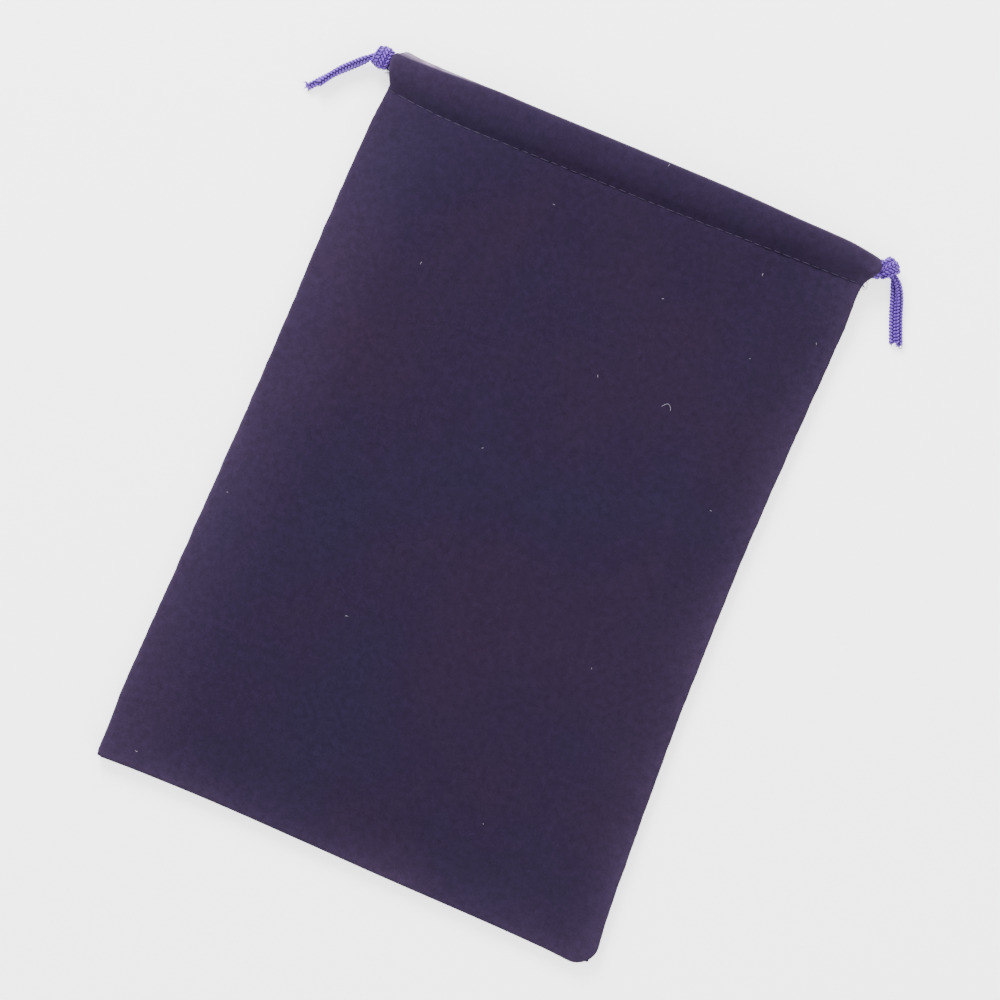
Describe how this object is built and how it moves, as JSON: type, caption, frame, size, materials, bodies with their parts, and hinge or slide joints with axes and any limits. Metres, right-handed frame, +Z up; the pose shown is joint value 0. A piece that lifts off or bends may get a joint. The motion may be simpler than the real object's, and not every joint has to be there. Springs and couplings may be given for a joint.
{
  "type": "drawstring pouch",
  "caption": "Flat velour drawstring pouch for dice, with stitched channels round the mouth and a knotted drawcord out of each side.",
  "frame": {"origin": "on the surface the pouch lies on, under the middle of its outline", "axes": "+X across the pouch, +Y along it towards the mouth, +Z up off the surface"},
  "size_m": [0.1622, 0.1909, 0.0115],
  "materials": {
    "velour": "short dense pile",
    "braided_cord": "satin hollow braid",
    "sewing_thread": "spun polyester"
  },
  "bodies": {
    "bag": {"front_panel": "velour", "back_panel": "velour", "front_channel_thread": "sewing_thread", "back_channel_thread": "sewing_thread", "left_seam_thread": "sewing_thread", "right_seam_thread": "sewing_thread", "bottom_seam_thread": "sewing_thread", "left_slit_tack": "sewing_thread", "right_slit_tack": "sewing_thread"},
    "left_drawcord": {"left_cord_loop": "braided_cord", "left_knot": "braided_cord", "left_tail_upper": "braided_cord", "left_tail_lower": "braided_cord"},
    "right_drawcord": {"right_cord_loop": "braided_cord", "right_knot": "braided_cord", "right_tail_inner": "braided_cord", "right_tail_outer": "braided_cord"}
  },
  "joints": [
    {"name": "left_cord_pull", "type": "slide", "parent": "bag", "child": "left_drawcord", "axis": [-1, 0, 0], "range_m": [0, 0.035], "deforming": ["left_cord_loop"]},
    {"name": "right_cord_pull", "type": "slide", "parent": "bag", "child": "right_drawcord", "axis": [1, 0, 0], "range_m": [0, 0.035], "deforming": ["right_cord_loop"]}
  ]
}
